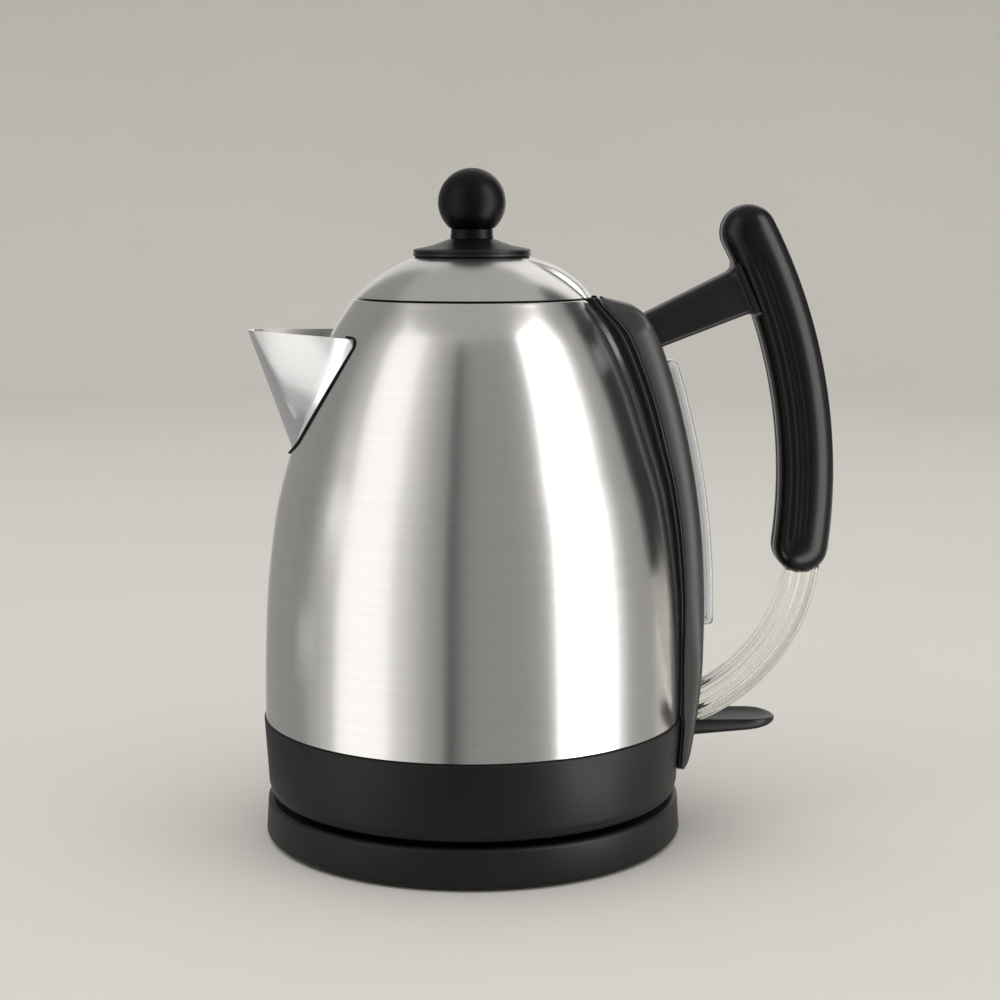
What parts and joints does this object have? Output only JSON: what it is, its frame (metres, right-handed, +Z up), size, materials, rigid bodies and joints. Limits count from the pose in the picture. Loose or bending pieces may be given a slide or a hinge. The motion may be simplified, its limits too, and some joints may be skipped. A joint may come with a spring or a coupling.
{
  "type": "electric kettle",
  "caption": "Cordless steel kettle on a round power base: ball-knob lid, pointed spout, arched black handle on a rear spine with a clear lower bar, and a rocker switch.",
  "frame": {"origin": "on the jug's axis at the counter, at the middle of the power base's underside, which the feet hold 1 mm up", "axes": "+Z up along the jug axis; +X towards the handle and the switch, so the spout points to -X; +Y completes a right-handed frame"},
  "size_m": [0.2196, 0.1603, 0.251],
  "materials": {
    "steel": "horizontally brushed stainless steel, satin",
    "bright_steel": "smooth bright stainless steel",
    "inner_steel": "plain stainless steel",
    "aluminium": "bare cast aluminium",
    "brass": "bare contact brass",
    "matt_black": "matt fine-textured moulded plastic",
    "satin_black": "satin moulded plastic",
    "gloss_black": "polished moulded plastic",
    "pale_plastic": "natural heat-resistant plastic",
    "rubber": "matt rubber",
    "silicone": "translucent silicone",
    "clear_plastic": "clear polished plastic, faintly green"
  },
  "bodies": {
    "base": {"base_earth_contact": "bright_steel", "base_screw_1": "inner_steel", "base_screw_2": "inner_steel", "base_screw_3": "inner_steel", "base_live_contact": "brass", "base_neutral_contact": "brass", "base_cover": "matt_black", "base_plate": "matt_black", "base_connector": "pale_plastic", "base_foot_1": "rubber", "base_foot_2": "rubber", "base_foot_3": "rubber", "cord_inlet": "rubber"},
    "jug": {"body_shell": "steel", "spout": "bright_steel", "jug_earth_ring": "bright_steel", "element_plate": "inner_steel", "bottom_screw_1": "inner_steel", "bottom_screw_2": "inner_steel", "bottom_screw_3": "inner_steel", "bracket_screw_upper": "inner_steel", "bracket_screw_lower": "inner_steel", "grip_screw_1": "inner_steel", "grip_screw_2": "inner_steel", "strut_screw": "inner_steel", "switch_pin": "inner_steel", "heat_spreader": "aluminium", "heating_element": "aluminium", "jug_live_pin": "brass", "jug_neutral_ring": "brass", "overheat_disc_1": "brass", "overheat_disc_2": "brass", "steam_disc": "brass", "lower_housing": "matt_black", "bottom_cover": "matt_black", "filter_holder": "matt_black", "spine_bracket": "satin_black", "spine_housing": "satin_black", "upper_strut": "satin_black", "grip_left": "gloss_black", "grip_right": "gloss_black", "jug_connector": "pale_plastic", "control_unit": "pale_plastic", "steam_switch": "pale_plastic", "lamp": "pale_plastic", "spout_gasket": "rubber", "plate_seal": "silicone", "gauge_seal": "silicone", "steam_tube": "silicone", "gauge_window": "clear_plastic", "lower_bar": "clear_plastic"},
    "lid": {"lid_shell": "steel", "lid_flange": "satin_black", "lid_knob": "satin_black", "lid_liner": "matt_black", "lid_seal": "silicone", "knob_screw": "inner_steel"},
    "switch": {"switch_lever": "satin_black"},
    "filter": {"filter_frame": "matt_black", "filter_mesh": "inner_steel"}
  },
  "joints": [
    {"name": "jug_lift", "type": "slide", "parent": "base", "child": "jug", "axis": [0, 0, 1], "range_m": [0, 0.06]},
    {"name": "lid_lift", "type": "slide", "parent": "jug", "child": "lid", "axis": [0, 0, 1], "range_m": [0, 0.05]},
    {"name": "switch_rock", "type": "hinge", "parent": "jug", "child": "switch", "pos_m": [0.0822, 0, 0.0415], "axis": [0, 1, 0], "range_deg": [0, 10]},
    {"name": "filter_slide", "type": "slide", "parent": "jug", "child": "filter", "axis": [0.3404, 0, 0.9403], "range_m": [0, 0.008]}
  ]
}
